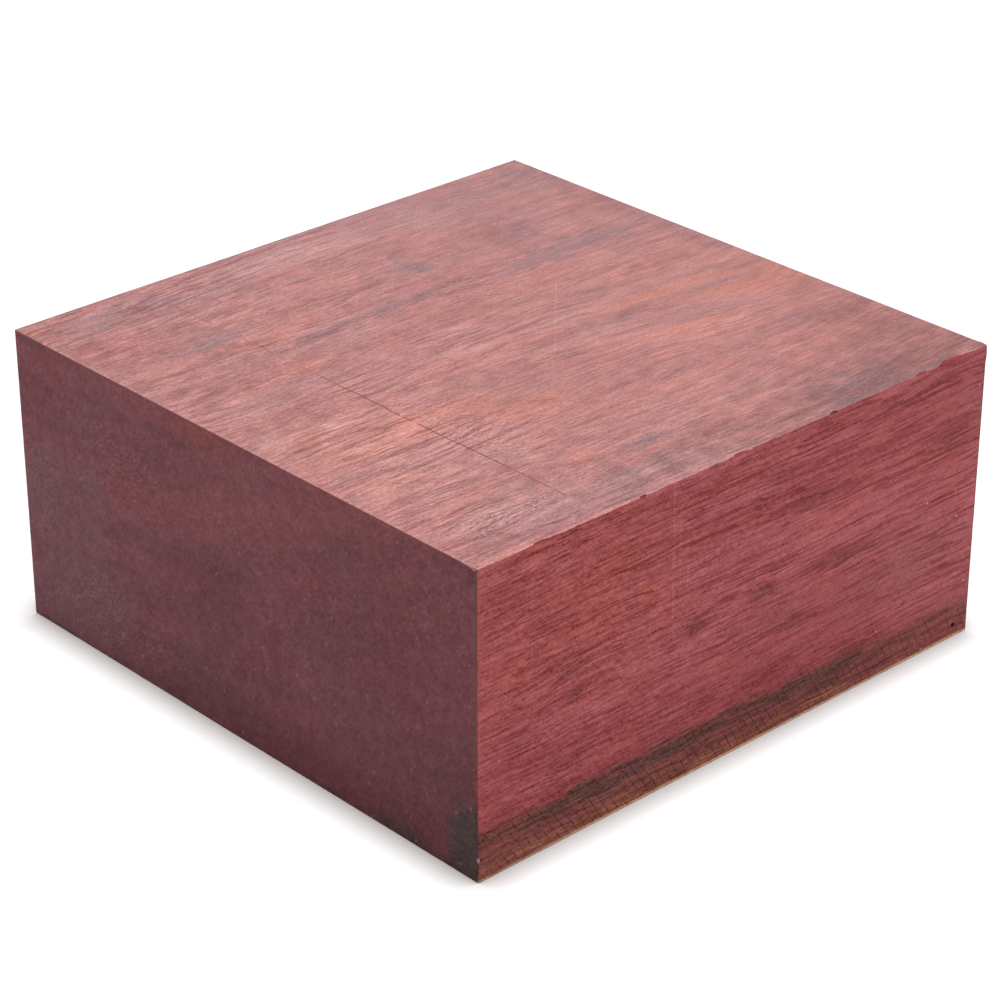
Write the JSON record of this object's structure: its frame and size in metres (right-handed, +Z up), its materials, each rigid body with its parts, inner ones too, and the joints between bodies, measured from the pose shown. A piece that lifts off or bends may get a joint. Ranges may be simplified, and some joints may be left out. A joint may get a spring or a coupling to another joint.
{
  "type": "wood turning blank",
  "caption": "Square block of solid crimson-brown hardwood, sawn on all faces with the end grain wax-sealed, to be mounted on a lathe and turned into a bowl.",
  "frame": {"origin": "centre of the underside, the face that the blank stands on", "axes": "+Z up through the blank's thickness, X along the grain with the end-grain faces at -X and +X, Y across the grain"},
  "size_m": [0.152, 0.152, 0.072],
  "materials": {
    "crimson_hardwood": "sawn and handled hardwood, crimson to orange-brown with fine dark grain, a dark band and paler wood along one lower edge, and thin dull wax on the end grain"
  },
  "bodies": {
    "root": {"turning_blank": "crimson_hardwood"}
  },
  "joints": []
}
